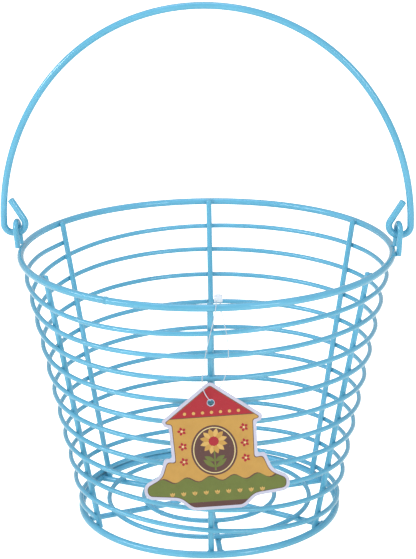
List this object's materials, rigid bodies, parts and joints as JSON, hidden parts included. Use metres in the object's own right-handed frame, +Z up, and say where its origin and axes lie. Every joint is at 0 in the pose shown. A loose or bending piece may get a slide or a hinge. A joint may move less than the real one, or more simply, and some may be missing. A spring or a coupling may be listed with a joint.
{
  "type": "egg collection basket",
  "caption": "Flared egg basket of coated wire: a spiral wound round upright ribs between rim and base ring, an open floor, a swinging bail hooked in ears, and a hang tag on a thread loop.",
  "frame": {"origin": "centre of the base on the resting plane", "axes": "+Z up; the bail's hinge runs along X over the two ears; the tag hangs at the front, towards -Y"},
  "size_m": [0.296, 0.2719, 0.3765],
  "materials": {
    "coated_wire": "satin to gloss plastic coating",
    "tag_card": "printed card, matt",
    "tag_thread": "clear nylon",
    "tag_lock": "moulded white plastic"
  },
  "bodies": {
    "basket": {"rim_ring": "coated_wire", "base_ring": "coated_wire", "rib_back_right": "coated_wire", "rib_back": "coated_wire", "rib_back_left": "coated_wire", "rib_front_left": "coated_wire", "rib_front": "coated_wire", "rib_front_right": "coated_wire", "coil_top": "coated_wire", "coil_upper": "coated_wire", "coil_middle": "coated_wire", "coil_lower": "coated_wire", "coil_foot": "coated_wire", "floor_spoke_lower": "coated_wire", "floor_spoke_middle": "coated_wire", "floor_spoke_upper": "coated_wire", "floor_ring_outer": "coated_wire", "floor_ring_inner": "coated_wire", "ear_left": "coated_wire", "ear_right": "coated_wire"},
    "bail": {"bail_handle": "coated_wire"},
    "tag_hanger": {"tag_loop": "tag_thread", "tag_lock": "tag_lock"},
    "tag_board": {"hang_tag": "tag_card"}
  },
  "joints": [
    {"name": "bail_swing", "type": "hinge", "parent": "basket", "child": "bail", "pos_m": [0, 0, 0.2097], "axis": [1, 0, 0], "range_deg": [-116, 112]},
    {"name": "tag_swing", "type": "hinge", "parent": "basket", "child": "tag_hanger", "pos_m": [0.00974, -0.13264, 0.1975], "axis": [-0.9973, -0.0732, 0], "range_deg": [-7, 60]},
    {"name": "tag_rock", "type": "hinge", "parent": "tag_hanger", "child": "tag_board", "pos_m": [0.00974, -0.13264, 0.133], "axis": [-0.0732, 0.9973, 0], "range_deg": [-60, 60]}
  ]
}
